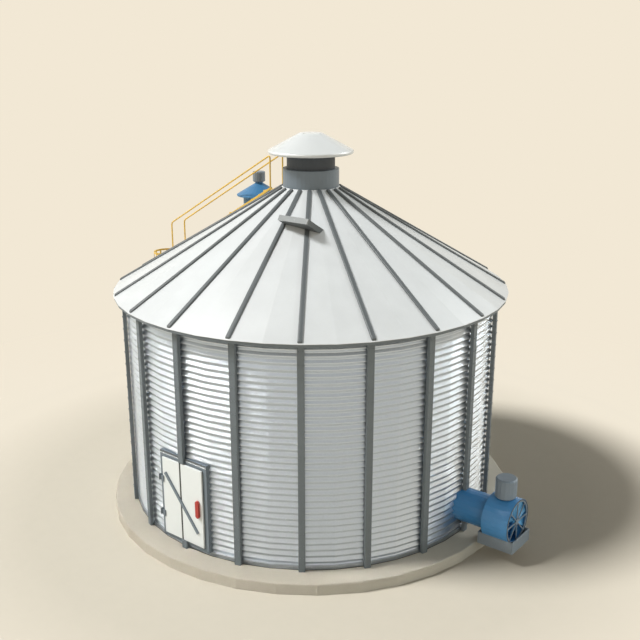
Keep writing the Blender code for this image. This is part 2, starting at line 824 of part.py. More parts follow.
def fan_grille():
    """Guard in the drum's mouth: a ring, eight spokes and a hub, fused."""
    back = FAN_FACE_X - GUARD_DEPTH
    outer = DRUM_RADIUS - DRUM_WALL - GAP
    inner = outer - GUARD_RING_WIDTH
    ring = turned([(inner, back), (outer, back), (outer, FAN_FACE_X), (inner, FAN_FACE_X)], DRUM_SIDES)
    hub = [(0.0, back), (GUARD_HUB_RADIUS, back), (GUARD_HUB_RADIUS, FAN_FACE_X), (0.0, FAN_FACE_X)]
    parts = [turned(hub, MOTOR_SIDES)]
    length = inner + outer
    for i in range(GUARD_SPOKES // 2):
        spoke = box((length, GUARD_BAR, GUARD_DEPTH * 0.8), (0, 0, FAN_FACE_X - GUARD_DEPTH / 2))
        parts.append(moved(spoke, Matrix.Rotation(math.radians(360.0 * i / GUARD_SPOKES), 4, "Z")))
    piece("fan_grille", along_x(union(ring, parts)), grey_steel())


def wheel_blade(azimuth, front):
    """Twisted blade from inside the hub to the tip; its leading edge is at the front."""
    tip = DRUM_RADIUS - DRUM_WALL - WHEEL_CLEARANCE
    root = WHEEL_HUB_RADIUS * 0.8
    shape = bmesh.new()
    sections = []
    for step in range(BLADE_STEPS + 1):
        share = step / BLADE_STEPS
        turn = azimuth + BLADE_SPAN_ANGLE * (share - 0.5)
        top = front - BLADE_DEPTH * share
        low = top - BLADE_THICKNESS
        section = [(root, top), (tip, top), (tip, low), (root, low)]
        sections.append([shape.verts.new((*polar(radius, turn), z)) for radius, z in section])
    shape.faces.new(sections[0])
    shape.faces.new(sections[-1])
    for near, far in zip(sections, sections[1:]):
        for i in range(4):
            j = (i + 1) % 4
            shape.faces.new((near[i], near[j], far[j], far[i]))
    return finish(shape)


def fan_wheel():
    """Hub and twisted blades, one body, turning on the drum's shaft."""
    front = FAN_FACE_X - GUARD_DEPTH - WHEEL_CLEARANCE
    back = FAN_FACE_X - CHAMBER_DEPTH + WHEEL_CLEARANCE
    bore = SHAFT_RADIUS + SHAFT_CLEARANCE
    bore_end = FAN_FACE_X - CHAMBER_DEPTH + SHAFT_LENGTH + WHEEL_CLEARANCE
    profile = [
        (bore, back), (WHEEL_HUB_RADIUS, back), (WHEEL_HUB_RADIUS, front), (0.0, front), (0.0, bore_end),
        (bore, bore_end),
    ]
    blades = [wheel_blade(360.0 * (i + 0.5) / WHEEL_BLADES, front - GAP) for i in range(WHEEL_BLADES)]
    wheel = along_x(union(turned(profile, DRUM_SIDES), blades))
    set_origin(piece("fan_wheel", wheel, blue_paint()), (front, 0.0, FAN_AXIS_HEIGHT))


def slope_point(radius, lateral, lift):
    """A point over the roof at azimuth 0, lifted above the sheet."""
    return Vector((lateral, -radius, roof_height(radius) + lift))


def roof_stair():
    """Two stringers, treads between them and feet on the roof, one body."""
    parts = []
    low, high = STRINGER_LIFT, STRINGER_LIFT + STRINGER_DEPTH
    inner, outer = STAIR_INNER_RADIUS, STAIR_OUTER_RADIUS
    outline = [
        (inner, roof_height(inner) + low), (outer, roof_height(outer) + low),
        (outer, roof_height(outer) + high), (inner, roof_height(inner) + high),
    ]
    for lateral in (-STAIR_HALF_WIDTH, STAIR_HALF_WIDTH):
        stringer = side_profile(outline, STRINGER_WIDTH / 2)
        parts.append(moved(stringer, Matrix.Translation((lateral, 0, 0))))
        for radius in STRINGER_FOOT_RADII:
            parts.append(box(STRINGER_FOOT, slope_point(radius, lateral, 0)))
    pitch = (outer - inner) / TREAD_COUNT
    for i in range(TREAD_COUNT):
        centre = slope_point(inner + pitch * (i + 0.5), 0, (low + high) / 2)
        parts.append(box((2 * STAIR_HALF_WIDTH, TREAD_DEPTH, TREAD_THICKNESS), centre))
    shape = moved(union(parts[0], parts[1:]), around(STAIR_AZIMUTH))
    piece("roof_stair", difference(shape, [roof_cutter()]), yellow_paint())


def bent_tube(name, points, radius, look):
    """Round tube through the points, as a filled bevelled curve."""
    data = bpy.data.curves.new(name, "CURVE")
    data.dimensions = "3D"
    data.bevel_depth = radius
    data.bevel_resolution = 2
    data.use_fill_caps = True
    line = data.splines.new("POLY")
    line.points.add(len(points) - 1)
    for point, place in zip(line.points, points):
        point.co = (*place, 1.0)
    thing = bpy.data.objects.new(name, data)
    thing.data.materials.append(look)
    bpy.context.collection.objects.link(thing)
    return thing


def rounded(points, radius, steps=4):
    """The open polyline with its inner corners rounded."""
    points = [Vector(p) for p in points]
    out = [points[0]]
    for before, corner, after in zip(points, points[1:], points[2:]):
        start = corner + (before - corner).normalized() * radius
        end = corner + (after - corner).normalized() * radius
        for i in range(steps + 1):
            share = i / steps
            out.append(start.lerp(corner, share).lerp(corner.lerp(end, share), share))
    out.append(points[-1])
    return out


def handrails():
    """A rail tube over each stringer, its ends turned down to stand on it."""
    foot_lift = STRINGER_LIFT + STRINGER_DEPTH + HANDRAIL_RADIUS * ROOF_SLOPE + 2 * GAP
    for name, lateral in (("handrail_back", -STAIR_HALF_WIDTH), ("handrail_front", STAIR_HALF_WIDTH)):
        ends = (STAIR_INNER_RADIUS + HANDRAIL_INSET, STAIR_OUTER_RADIUS - HANDRAIL_INSET)
        points = [
            slope_point(ends[0], lateral, foot_lift),
            slope_point(ends[0], lateral, HANDRAIL_HEIGHT),
            slope_point(ends[1], lateral, HANDRAIL_HEIGHT),
            slope_point(ends[1], lateral, foot_lift),
        ]
        points = [around(STAIR_AZIMUTH) @ p for p in rounded(points, HANDRAIL_BEND)]
        bent_tube(name, points, HANDRAIL_RADIUS, yellow_paint())


def wall_ladder():
    """Two stiles from the slab to the eave with rungs and wall brackets, one body."""
    parts = []
    foot = SLAB_HEIGHT + GAP
    laterals = (-STAIR_HALF_WIDTH, STAIR_HALF_WIDTH)
    for lateral in laterals:
        centre = (lateral, -LADDER_RADIUS, (LADDER_TOP + foot) / 2)
        parts.append(box((STILE_WIDTH, STILE_DEPTH, LADDER_TOP - foot), centre))
    for i in range(1, int((LADDER_TOP - foot) / RUNG_PITCH)):
        z = foot + RUNG_PITCH * i
        ends = [(lateral, -LADDER_RADIUS, z) for lateral in laterals]
        parts.append(rod(*ends, RUNG_RADIUS))
    inner = POST_FRONT_RADIUS + GAP
    reach = LADDER_RADIUS - inner
    for z in BRACKET_HEIGHTS:
        for lateral in laterals:
            parts.append(box((BRACKET_SIZE, reach, BRACKET_SIZE), (lateral, -inner - reach / 2, z)))
        parts.append(box(BRACKET_PLATE, (0, -inner - BRACKET_PLATE[1] / 2, z)))
    piece("wall_ladder", moved(union(parts[0], parts[1:]), around(STAIR_AZIMUTH)), yellow_paint())


def hoop_outline(centre, foot):
    """Plan of a flat hoop: half a ring with its legs run back to the ladder's stiles."""
    rings = []
    for radius in (CAGE_RADIUS, CAGE_RADIUS - BAND_THICKNESS):
        turns = [math.radians(-90 + 180 * step / HOOP_STEPS) for step in range(HOOP_STEPS + 1)]
        rings.append([(radius * math.sin(t), -(centre + radius * math.cos(t))) for t in turns])
    half = STAIR_HALF_WIDTH
    legs = [(half, -foot), (half - BAND_THICKNESS, -foot)]
    return [(-half, -foot)] + rings[0] + legs + rings[1][::-1] + [(-half + BAND_THICKNESS, -foot)]


def ladder_cage():
    """Hoops and straps round the ladder, fused where they cross."""
    parts = []
    foot = LADDER_RADIUS + STILE_DEPTH / 2 + GAP
    centre = foot + CAGE_DEPTH
    pitch = (CAGE_TOP - CAGE_BOTTOM - HOOP_HEIGHT) / (CAGE_HOOPS - 1)
    for i in range(CAGE_HOOPS):
        low = CAGE_BOTTOM + pitch * i
        parts.append(prism(hoop_outline(centre, foot), low, low + HOOP_HEIGHT))
    middle = CAGE_RADIUS - BAND_THICKNESS / 2
    size = (STRAP_WIDTH, BAND_THICKNESS, CAGE_TOP - CAGE_BOTTOM)
    for degrees in CAGE_STRAP_ANGLES:
        turn = math.radians(degrees)
        x, y = middle * math.sin(turn), -(centre + middle * math.cos(turn))
        parts.append(box(size, (x, y, (CAGE_TOP + CAGE_BOTTOM) / 2), Matrix.Rotation(turn, 4, "Z")))
    piece("ladder_cage", moved(union(parts[0], parts[1:]), around(STAIR_AZIMUTH)), yellow_paint())


def roof_cutter():
    """Everything just under the roof's top surface and its ribs, as one cutter."""
    deep, far = 1.0, EAVE_RADIUS + 1.0
    profile = [
        (0.0, roof_height(0.0) - deep), (far, roof_height(far) - deep), (far, roof_height(far) + GAP),
        (0.0, roof_height(0.0) + GAP),
    ]
    inner, outer = RIB_INNER_RADIUS - GAP, RIB_OUTER_RADIUS + GAP
    over_rib = RIB_HEIGHT + 2 * GAP
    outline = [
        (inner, roof_height(inner) - deep / 2), (outer, roof_height(outer) - deep / 2),
        (outer, roof_height(outer) + over_rib), (inner, roof_height(inner) + over_rib),
    ]
    ribs = [
        moved(side_profile(outline, RIB_WIDTH / 2 + GAP), around(i * BAY_ANGLE)) for i in range(BAYS)
    ]
    return union(turned(profile, SIDES), ribs)


def hatch():
    """Housing under a sheet lid with a front lip; both fall towards the back, into the roof."""
    fall = Matrix.Rotation(-math.atan(ROOF_SLOPE), 4, "X")
    place = Matrix.Translation((HATCH_MIDDLE_X, HATCH_FRONT_Y, HATCH_FRONT_Z)) @ fall
    start, top = HATCH_LIP + GAP, -HATCH_SHEET - GAP
    body = box(
        (HATCH_WIDTH, HATCH_REACH - start, HATCH_THICKNESS + top),
        (0, (HATCH_REACH + start) / 2, (top - HATCH_THICKNESS) / 2),
    )
    piece("roof_hatch_body", difference(moved(body, place), [roof_cutter()]), grey_steel())
    lip = box((HATCH_WIDTH, HATCH_LIP, HATCH_THICKNESS), (0, HATCH_LIP / 2, -HATCH_THICKNESS / 2))
    sheet = box(
        (HATCH_WIDTH - 2 * HATCH_INSET, HATCH_REACH - HATCH_LIP / 2, HATCH_SHEET),
        (0, (HATCH_REACH + HATCH_LIP / 2) / 2, -HATCH_SHEET / 2),
    )
    lid = moved(union(lip, [sheet]), place)
    piece("roof_hatch_lid", difference(lid, [roof_cutter()]), white_paint())


def exhauster():
    """Upright housing cut to the roof, conical cap with a neck, and the motor on the neck."""
    place = Matrix.Translation((*polar(VENT_RADIUS, VENT_AZIMUTH), VENT_RIM))
    foot, top = -1.0, -VENT_RIM_THICKNESS - GAP
    body = [(0.0, foot), (VENT_BODY_RADIUS, foot), (VENT_BODY_RADIUS, top), (0.0, top)]
    housing = difference(moved(turned(body, VENT_SIDES), place), [roof_cutter()])
    piece("exhauster_housing", housing, blue_paint())
    neck_foot = VENT_CONE_HEIGHT * (1 - VENT_NECK_RADIUS / VENT_CAP_RADIUS)
    neck_top = VENT_MOTOR_FOOT - GAP
    cap = [
        (0.0, -VENT_RIM_THICKNESS), (VENT_CAP_RADIUS, -VENT_RIM_THICKNESS), (VENT_CAP_RADIUS, 0.0),
        (VENT_NECK_RADIUS, neck_foot), (VENT_NECK_RADIUS, neck_top), (0.0, neck_top),
    ]
    piece("exhauster_cap", moved(turned(cap, VENT_SIDES), place), blue_paint())
    motor = chamfered(VENT_MOTOR_RADIUS, VENT_MOTOR_FOOT, VENT_MOTOR_TOP, VENT_MOTOR_CHAMFER)
    piece("exhauster_motor", moved(turned(motor, MOTOR_SIDES), place), grey_steel())


def build():
    clear_scene()
    slab()
    base_ring()
    walls()
    posts()
    roof()
    eave_ring()
    peak()
    door_frame()
    door_leaf()
    fan()
    roof_stair()
    handrails()
    wall_ladder()
    ladder_cage()
    hatch()
    exhauster()


build()
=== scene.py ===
# Looks of the grain silo: corrugated sheets, roof, ribs, bolts, paint and concrete,
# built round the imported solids. Metres, +Z up, the door faces -Y.
import math

import bmesh
import bpy
from mathutils import Matrix, Vector


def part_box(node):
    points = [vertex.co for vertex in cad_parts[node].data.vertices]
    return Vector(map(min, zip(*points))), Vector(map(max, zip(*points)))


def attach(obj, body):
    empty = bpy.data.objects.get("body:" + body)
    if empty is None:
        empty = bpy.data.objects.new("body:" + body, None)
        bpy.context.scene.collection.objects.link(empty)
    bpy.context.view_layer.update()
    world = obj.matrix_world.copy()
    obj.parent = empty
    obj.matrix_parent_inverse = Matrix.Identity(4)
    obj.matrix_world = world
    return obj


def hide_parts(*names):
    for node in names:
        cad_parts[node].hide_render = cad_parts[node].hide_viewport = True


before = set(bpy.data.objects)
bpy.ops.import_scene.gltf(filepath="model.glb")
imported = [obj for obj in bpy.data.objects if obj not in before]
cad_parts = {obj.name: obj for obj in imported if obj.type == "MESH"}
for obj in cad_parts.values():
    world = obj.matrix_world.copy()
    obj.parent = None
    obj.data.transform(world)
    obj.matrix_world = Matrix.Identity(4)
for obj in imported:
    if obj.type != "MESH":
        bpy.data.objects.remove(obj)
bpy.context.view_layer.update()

BAYS = 20
SIDES = 2 * BAYS
QUARTER_SIDES = SIDES // 4
BAY_ANGLE = 360.0 / BAYS
SIDE_ANGLE = 360.0 / SIDES

GAP = 0.0003     # air left between pieces that meet
NOUGHT = 1e-4    # lengths and angles under this count as none

# Sizes read from the solids
SLAB_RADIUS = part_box("foundation_slab")[1].y
SLAB_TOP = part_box("foundation_slab")[1].z
WALL_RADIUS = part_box("base_ring")[1].x
WALL_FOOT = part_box("wall_back")[0].z
WALL_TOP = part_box("wall_back")[1].z
POST_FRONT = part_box("wall_post_05")[1].x
POST_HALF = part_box("wall_post_05")[1].y
DOOR_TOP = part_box("door_frame")[1].z
DOOR_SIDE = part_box("door_frame")[1].x
EAVE_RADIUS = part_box("roof")[1].x
ROOF_SOLID = 0.040
EAVE_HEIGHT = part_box("roof")[0].z + ROOF_SOLID
CAP_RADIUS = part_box("peak_cap")[1].x
CAP_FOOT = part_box("peak_cap")[0].z
CAP_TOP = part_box("peak_cap")[1].z

# Slab and base ring
SLAB_SIDES = 36
SLAB_ARRIS = 0.030
SEALANT_HEIGHT = 0.010
BAND_WIDTH = 0.086
BAND_ROLL = 0.006

# Corrugated sheet
CORRUGATION_PITCH = 0.150
CORRUGATION_DEPTH = 0.056
RIDGE_HEIGHT = 0.4725
FOLD_ROUNDING = 0.07
SHEET_THICKNESS = 0.003
SHEET_RINGS = 5
LAP_STEP = 0.0015

# Roof
ROOF_SLOPE = math.tan(math.radians(30.2))
ROOF_HOLE = 0.600
ROOF_SHEET = 0.014
EAVE_BAND = 0.030
EAVE_LIP = 0.005

# Roof ribs
RIB_HALF_WIDTH = 0.055
RIB_HEIGHT = 0.048
RIB_SINK = 0.010
RIB_SQUARENESS = 0.6
RIB_STEPS = 12
RIB_INNER = 0.728
RIB_OUTER = 4.862
RIB_TIP = 0.024
RIB_TIP_SHARE = 0.35

# Peak cap
CAP_RIM_RADIUS = 0.048
CAP_CROWN = 0.300
CROWN_BEND = 0.120
CAP_SKIN = 0.040
CAP_SAG = 0.005
CAP_RETURN = ((0.020, 0.050), (0.012, 0.010))    # in from the rim's middle, up from its foot

# Door: x across it, and distances in front of the silo's axis
FRAME_FRONT = 4.635
LEAF_BACK = 4.642
LEAF_FRONT = 4.687
HINGE_X = -0.660
HINGE_FRONT = 4.668
JOINT_X = -0.054
JOINT_HALF = 0.0225
JOINT_DEPTH = 0.018


def polar(radius, azimuth):
    """A point in plan: azimuth 0 is -Y, 90 is +X."""
    turn = math.radians(azimuth)
    return (radius * math.sin(turn), -radius * math.cos(turn))


def roof_top(radius):
    """Height of the roof sheet's top along a corner of its sides."""
    return EAVE_HEIGHT + (EAVE_RADIUS - radius) * ROOF_SLOPE


# Materials


def new_material(name, colour, roughness, metallic=0.0):
    """A material with nodes, and its Principled shader."""
    made = bpy.data.materials.new(name)
    made.use_nodes = True
    shader = made.node_tree.nodes["Principled BSDF"]
    shader.inputs["Base Color"].default_value = (*colour, 1.0)
    shader.inputs["Roughness"].default_value = roughness
    shader.inputs["Metallic"].default_value = metallic
    return made, shader


def add_node(made, kind, **settings):
    """A node with values set by input name, and its other settings."""
    node = made.node_tree.nodes.new(kind)
    for key, value in settings.items():
        if key in node.inputs:
            node.inputs[key].default_value = value
        else:
            setattr(node, key, value)
    return node


def link(made, output, socket):
    made.node_tree.links.new(output, socket)


def object_place(made, scale=(1.0, 1.0, 1.0)):
    """Object coordinates, stretched by scale."""
    place = add_node(made, "ShaderNodeTexCoord")
    stretch = add_node(made, "ShaderNodeMapping")
    stretch.inputs["Scale"].default_value = scale
    link(made, place.outputs["Object"], stretch.inputs["Vector"])
    return stretch.outputs["Vector"]


def noise(made, scale, detail, stretch=(1.0, 1.0, 1.0)):
    """Soft noise; scale is its features per metre."""
    node = add_node(made, "ShaderNodeTexNoise", Scale=scale, Detail=detail, Roughness=0.55)
    link(made, object_place(made, stretch), node.inputs["Vector"])
    return node.outputs["Fac"]


def cells(made, scale):
    """Outputs of a pattern of cells; scale is their number per metre."""
    node = add_node(made, "ShaderNodeTexVoronoi", Scale=scale, Randomness=1.0)
    link(made, object_place(made), node.inputs["Vector"])
    return node.outputs


def ranged(made, value, low, high, from_low=0.3, from_high=0.7):
    """The value spread from one range to another; noise stays mostly between 0.3 and 0.7."""
    node = add_node(made, "ShaderNodeMapRange")
    limits = {"From Min": from_low, "From Max": from_high, "To Min": low, "To Max": high}
    for name, number in limits.items():
        node.inputs[name].default_value = number
    link(made, value, node.inputs["Value"])
    return node.outputs["Result"]


def blended(made, share, first, second):
    """A colour between two, by share; either may be a colour or another node's output."""
    node = add_node(made, "ShaderNodeMix", data_type="RGBA")
    link(made, share, node.inputs["Factor"])
    for socket, value in ((node.inputs[6], first), (node.inputs[7], second)):
        if isinstance(value, tuple):
            socket.default_value = (*value, 1.0)
        else:
            link(made, value, socket)
    return node.outputs[2]


def overlaid(made, tone, mask, share, colour, start=0.3, end=0.7):
    """The tone under a colour, from none of it where the mask is at start to share at end."""
    return blended(made, ranged(made, mask, 0.0, share, start, end), tone, colour)


def bumped(made, shader, heights):
    """Bump nodes in a row; heights are (value, distance in metres, strength)."""
    before = None
    for value, distance, strength in heights:
        bump = add_node(made, "ShaderNodeBump", Distance=distance, Strength=strength)
        link(made, value, bump.inputs["Height"])
        if before is not None:
            link(made, before, bump.inputs["Normal"])
        before = bump.outputs["Normal"]
    link(made, before, shader.inputs["Normal"])


def shade(colour, factor):
    return tuple(min(1.0, channel * factor) for channel in colour)


def paint(name, colour, roughness, mottle=0.05, metallic=0.0, dust=0.10, peel=0.15):
    """Painted or bare steel: cloudy tone, uneven gloss, specks of dust, fine orange peel."""
    made, shader = new_material(name, colour, roughness, metallic)
    clouds = noise(made, scale=1.7, detail=5.0)
    specks = noise(made, scale=34.0, detail=3.0)
    gloss = noise(made, scale=9.0, detail=4.0)
    skin = noise(made, scale=240.0, detail=2.0)
    tone = overlaid(made, shade(colour, 1.0 - mottle), clouds, 1.0, shade(colour, 1.0 + mottle))
    tone = overlaid(made, tone, specks, dust, shade(colour, 0.80), 0.55, 0.75)
    link(made, tone, shader.inputs["Base Color"])
    link(made, ranged(made, gloss, roughness - 0.04, roughness + 0.06), shader.inputs["Roughness"])
    bumped(made, shader, [(skin, 0.0004, peel)])
    return made


def galvanised():
    """Bare zinc: spangle of uneven gloss, cloudy tone and faint runs down the sheet."""
    colour = (0.635, 0.690, 0.755)
    made, shader = new_material("galvanised_sheet", colour, 0.28, metallic=1.0)
    crystals = add_node(made, "ShaderNodeSeparateColor")
    link(made, cells(made, scale=42.0)["Color"], crystals.inputs["Color"])
    flake = crystals.outputs["Red"]
    clouds = noise(made, scale=0.9, detail=5.0)
    runs = noise(made, scale=5.0, detail=4.0, stretch=(1.0, 1.0, 0.06))
    tone = overlaid(made, shade(colour, 0.97), flake, 1.0, shade(colour, 1.03), 0.0, 1.0)
    tone = overlaid(made, tone, clouds, 0.20, shade(colour, 0.94))
    tone = overlaid(made, tone, runs, 0.12, shade(colour, 0.86), 0.5, 0.8)
    link(made, tone, shader.inputs["Base Color"])
    link(made, ranged(made, flake, 0.33, 0.40, 0.0, 1.0), shader.inputs["Roughness"])
    bumped(made, shader, [(flake, 0.0002, 0.05)])
    return made


def roof_white():
    """Off-white coated sheet: faint clouds, fine specks of dirt and a slight waviness."""
    colour, dirt = (0.548, 0.575, 0.592), (0.50, 0.50, 0.48)
    made, shader = new_material("roof_sheet", colour, 0.36)
    clouds = noise(made, scale=1.3, detail=6.0)
    specks = noise(made, scale=26.0, detail=4.0)
    skin = noise(made, scale=180.0, detail=2.0)
    tone = overlaid(made, shade(colour, 0.95), clouds, 1.0, shade(colour, 1.03))
    tone = overlaid(made, tone, specks, 0.16, dirt, 0.5, 0.8)
    link(made, tone, shader.inputs["Base Color"])
    link(made, ranged(made, specks, 0.30, 0.44), shader.inputs["Roughness"])
    bumped(made, shader, [(clouds, 0.010, 0.20), (skin, 0.0006, 0.20)])
    return made


def concrete():
    """Cast concrete: sand grain, pores darkened as painted shade in them, cloudy cement tone and a
    few darker stains.
    """
    colour = (0.402, 0.370, 0.310)
    made, shader = new_material("concrete", colour, 0.86)
    clouds = noise(made, scale=1.1, detail=6.0)
    grain = noise(made, scale=90.0, detail=3.0)
    stains = noise(made, scale=0.6, detail=8.0)
    solid = ranged(made, cells(made, scale=36.0)["Distance"], 0.0, 1.0, 0.0, 0.16)
    tone = overlaid(made, shade(colour, 0.93), clouds, 1.0, shade(colour, 1.05))
    tone = overlaid(made, tone, stains, 0.30, shade(colour, 0.78), 0.55, 0.75)
    tone = overlaid(made, tone, grain, 0.22, shade(colour, 0.80))
    # Pores darker in colour: painted shade in the pits.
    tone = blended(made, solid, shade(colour, 0.62), tone)
    link(made, tone, shader.inputs["Base Color"])
    link(made, ranged(made, clouds, 0.80, 0.92), shader.inputs["Roughness"])
    bumped(made, shader, [(grain, 0.0015, 0.5), (solid, 0.002, 0.4), (clouds, 0.006, 0.2)])
    return made


def rubber():
    """Dull black seal with a fine grain."""
    dark, light = (0.035, 0.038, 0.038), (0.06, 0.063, 0.063)
    made, shader = new_material("rubber_seal", (0.045, 0.048, 0.048), 0.7)
    grain = noise(made, scale=130.0, detail=3.0)
    link(made, overlaid(made, dark, grain, 1.0, light), shader.inputs["Base Color"])
    bumped(made, shader, [(grain, 0.0006, 0.4)])
    return made


GALVANISED = galvanised()
ROOF_WHITE = roof_white()
CONCRETE = concrete()
RUBBER = rubber()
GREY = paint("grey_steel", (0.128, 0.155, 0.176), 0.46)
# A darker copy of the posts' grey: painted shade for the ribs' upward faces; also used for the
# strip over the door head and the hatch body.
SHADED_GREY = paint("shaded_grey", (0.092, 0.104, 0.110), 0.46)
COLLAR_GREY = paint("collar_grey", (0.137, 0.171, 0.204), 0.40, mottle=0.03, dust=0.05)
TRAY_GREY = paint("tray_grey", (0.150, 0.178, 0.205), 0.46)
FAN_GREY = paint("fan_grey", (0.154, 0.190, 0.228), 0.48)
# Near-black for the throat under the cap: painted shade in the recess below the cap.
THROAT_SHADE = paint("dark_steel", (0.052, 0.063, 0.078), 0.60)
RING_STEEL = paint("ring_steel", (0.430, 0.470, 0.525), 0.34, metallic=1.0)
# Light bare metal for the rolled edge over the door, chosen bright to give a highlight line there.
HIGHLIGHT_TRIM = paint("highlight_trim_steel", (0.640, 0.680, 0.720), 0.24, metallic=1.0)
CAP_WHITE = paint("cap_white", (0.548, 0.574, 0.584), 0.18, mottle=0.01, dust=0.02, peel=0.03)
# The hatch lid's white, darkened well below the other whites: painted shade over the lid's face.
SHADED_LID_WHITE = paint("shaded_lid_white", (0.236, 0.254, 0.260), 0.24, mottle=0.01, dust=0.01, peel=0.03)
DOOR_WHITE = paint("door_white", (0.660, 0.702, 0.712), 0.34, mottle=0.02, dust=0.06)
YELLOW = paint("yellow_paint", (0.660, 0.430, 0.074), 0.38)
RED = paint("red_paint", (0.360, 0.030, 0.024), 0.33)
# The drum's blue darkened for the duct: painted shade, the duct standing in shadow.
SHADED_DUCT_BLUE = paint("shaded_duct_blue", (0.035, 0.169, 0.372), 0.34)
DRUM_BLUE = paint("drum_blue", (0.050, 0.208, 0.440), 0.34)
WHEEL_BLUE = paint("wheel_blue", (0.082, 0.270, 0.480), 0.40)
HOOD_BLUE = paint("hood_blue", (0.042, 0.160, 0.320), 0.40)


# Mesh helpers


def finish_piece(name, data, look, body="silo", stands_for=()):
    """A piece of the object from a mesh; it rides on a body and may stand for nodes."""
    data.materials.append(look)
    thing = bpy.data.objects.new(name, data)
    bpy.context.scene.collection.objects.link(thing)
    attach(thing, body)
    if stands_for:
        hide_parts(*stands_for)
    return thing


def add_piece(name, shape, look, body="silo", stands_for=()):
    """A piece of the object from a bmesh, with its faces turned outwards."""
    bmesh.ops.recalc_face_normals(shape, faces=shape.faces)
    data = bpy.data.meshes.new(name)
    shape.to_mesh(data)
    shape.free()
    return finish_piece(name, data, look, body, stands_for)


def smooth_but(data, degrees):
    """Smooth shading, sharp where faces meet at more than the angle."""
    data.shade_smooth()
    data.set_sharp_from_angle(angle=math.radians(degrees))


def flat_sided(data, degrees):
    """Smooth shading for a turned shape that still shows its flat sides."""
    smooth_but(data, degrees)
    for edge in data.edges:
        first, second = (data.vertices[i].co for i in edge.vertices)
        turn = abs(math.atan2(first.x, -first.y) - math.atan2(second.x, -second.y))
        if turn < NOUGHT or min(first.xy.length, second.xy.length) < NOUGHT:
            edge.use_edge_sharp = True


def soften(thing, width, segments=2):
    """Rounds an object's sharp edges and keeps its flat faces flat."""
    weld = thing.modifiers.new("weld", "WELD")
    weld.merge_threshold = 0.00002
    edge = thing.modifiers.new("rounded edges", "BEVEL")
    edge.width = width
    edge.segments = segments
    edge.limit_method = "ANGLE"
    edge.angle_limit = math.radians(30)
    edge.use_clamp_overlap = True
    thing.modifiers.new("even normals", "WEIGHTED_NORMAL").keep_sharp = True


def dress(node, look, width=0.0, segments=2):
    """A solid from the frame gets its finish and, if asked, rounded edges."""
    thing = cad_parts[node]
    thing.data.materials.clear()
    thing.data.materials.append(look)
    if width:
        soften(thing, width, segments)


def lathe(profile, sides):
    """Closed or axis-to-axis profile of (radius, height) turned about Z, corners at whole steps."""
    shape = bmesh.new()
    rings = []
    for radius, height in profile:
        if radius < NOUGHT:
            rings.append([shape.verts.new((0, 0, height))])
            continue
        corners = [polar(radius, 360.0 * i / sides) for i in range(sides)]
        rings.append([shape.verts.new((x, y, height)) for x, y in corners])
    for low, high in zip(rings, rings[1:] + rings[:1]):
        if len(low) == 1 and len(high) == 1:
            continue
        for i in range(sides):
            j = (i + 1) % sides
            corners = [low[i % len(low)], low[j % len(low)]]
            corners += [high[j % len(high)], high[i % len(high)]]
            shape.faces.new(list(dict.fromkeys(corners)))
    return shape


def arc(centre, radius, start, end, steps):
    """Points on an arc in (outwards, up), angles in degrees from outwards to up."""
    turns = [math.radians(start + (end - start) * i / steps) for i in range(steps + 1)]
    return [(centre[0] + radius * math.cos(t), centre[1] + radius * math.sin(t)) for t in turns]


def skirt(shape, near, far):
    """Faces between two rings with as many corners."""
    for i in range(len(near)):
        j = (i + 1) % len(near)
        shape.faces.new((near[i], near[j], far[j], far[i]))


def loft(shape, rings):
    """Rings of corners joined in a row, closed at both ends."""
    for near, far in zip(rings, rings[1:]):
        skirt(shape, near, far)
    shape.faces.new(rings[0])
    shape.faces.new(rings[-1])


def prism(near, far):
    """A closed solid between two outlines with as many points."""
    shape = bmesh.new()
    ends = [[shape.verts.new(place) for place in outline] for outline in (near, far)]
    for end in ends:
        shape.faces.new(end)
    skirt(shape, *ends)
    return shape


def upright(outline, low, high):
    """Plan outline extruded from low to high."""
    return prism(*[[(x, y, height) for x, y in outline] for height in (low, high)])


# Slab and base ring


def slab():
    """Many-sided cast slab with a rounded arris."""
    edge, brink = SLAB_RADIUS - SLAB_ARRIS, SLAB_TOP - SLAB_ARRIS
    profile = [(0.0, 0.0), (SLAB_RADIUS, 0.0), (SLAB_RADIUS, brink)]
    profile += arc((edge, brink), SLAB_ARRIS, 15, 90, 4) + [(0.0, SLAB_TOP)]
    thing = add_piece("slab_block", lathe(profile, SLAB_SIDES), CONCRETE,
                      stands_for=["foundation_slab"])
    flat_sided(thing.data, 40)


def base_ring():
    """Pressed band under the sheets, on a bead of sealant."""
    low, high = SLAB_TOP + SEALANT_HEIGHT, WALL_FOOT - GAP
    outer, inner, roll = WALL_RADIUS, WALL_RADIUS - BAND_WIDTH, BAND_ROLL
    profile = [(inner, low), (outer - roll, low)]
    profile += arc((outer - roll, low + roll), roll, -60, 0, 3)
    profile += arc((outer - roll, high - roll), roll, 0, 90, 4) + [(inner, high)]
    thing = add_piece("base_ring_band", lathe(profile, SIDES), RING_STEEL,
                      stands_for=["base_ring"])
    flat_sided(thing.data, 35)
    foot, top, back = SLAB_TOP + GAP, low - GAP, inner + 0.010
    squeezed, tucked = 0.004, 0.002
    bead = [(back, foot), (outer + squeezed, foot), (outer - tucked, top), (back, top)]
    thing = add_piece("base_ring_sealant", lathe(bead, SIDES), RUBBER)
    smooth_but(thing.data, 35)


# Corrugated wall


def ridge_heights():
    """Heights where the corrugation stands out furthest."""
    count = int((WALL_TOP - RIDGE_HEIGHT) / CORRUGATION_PITCH)
    return [RIDGE_HEIGHT + CORRUGATION_PITCH * i for i in range(count + 1)]


def ring_seams():
    """Heights of the laps between the rings of sheet, each in a valley."""
    ridges = ridge_heights()
    picks = [round(len(ridges) * i / SHEET_RINGS) for i in range(1, SHEET_RINGS)]
    return [ridges[pick] - CORRUGATION_PITCH / 2 for pick in picks]


SEAMS = ring_seams()


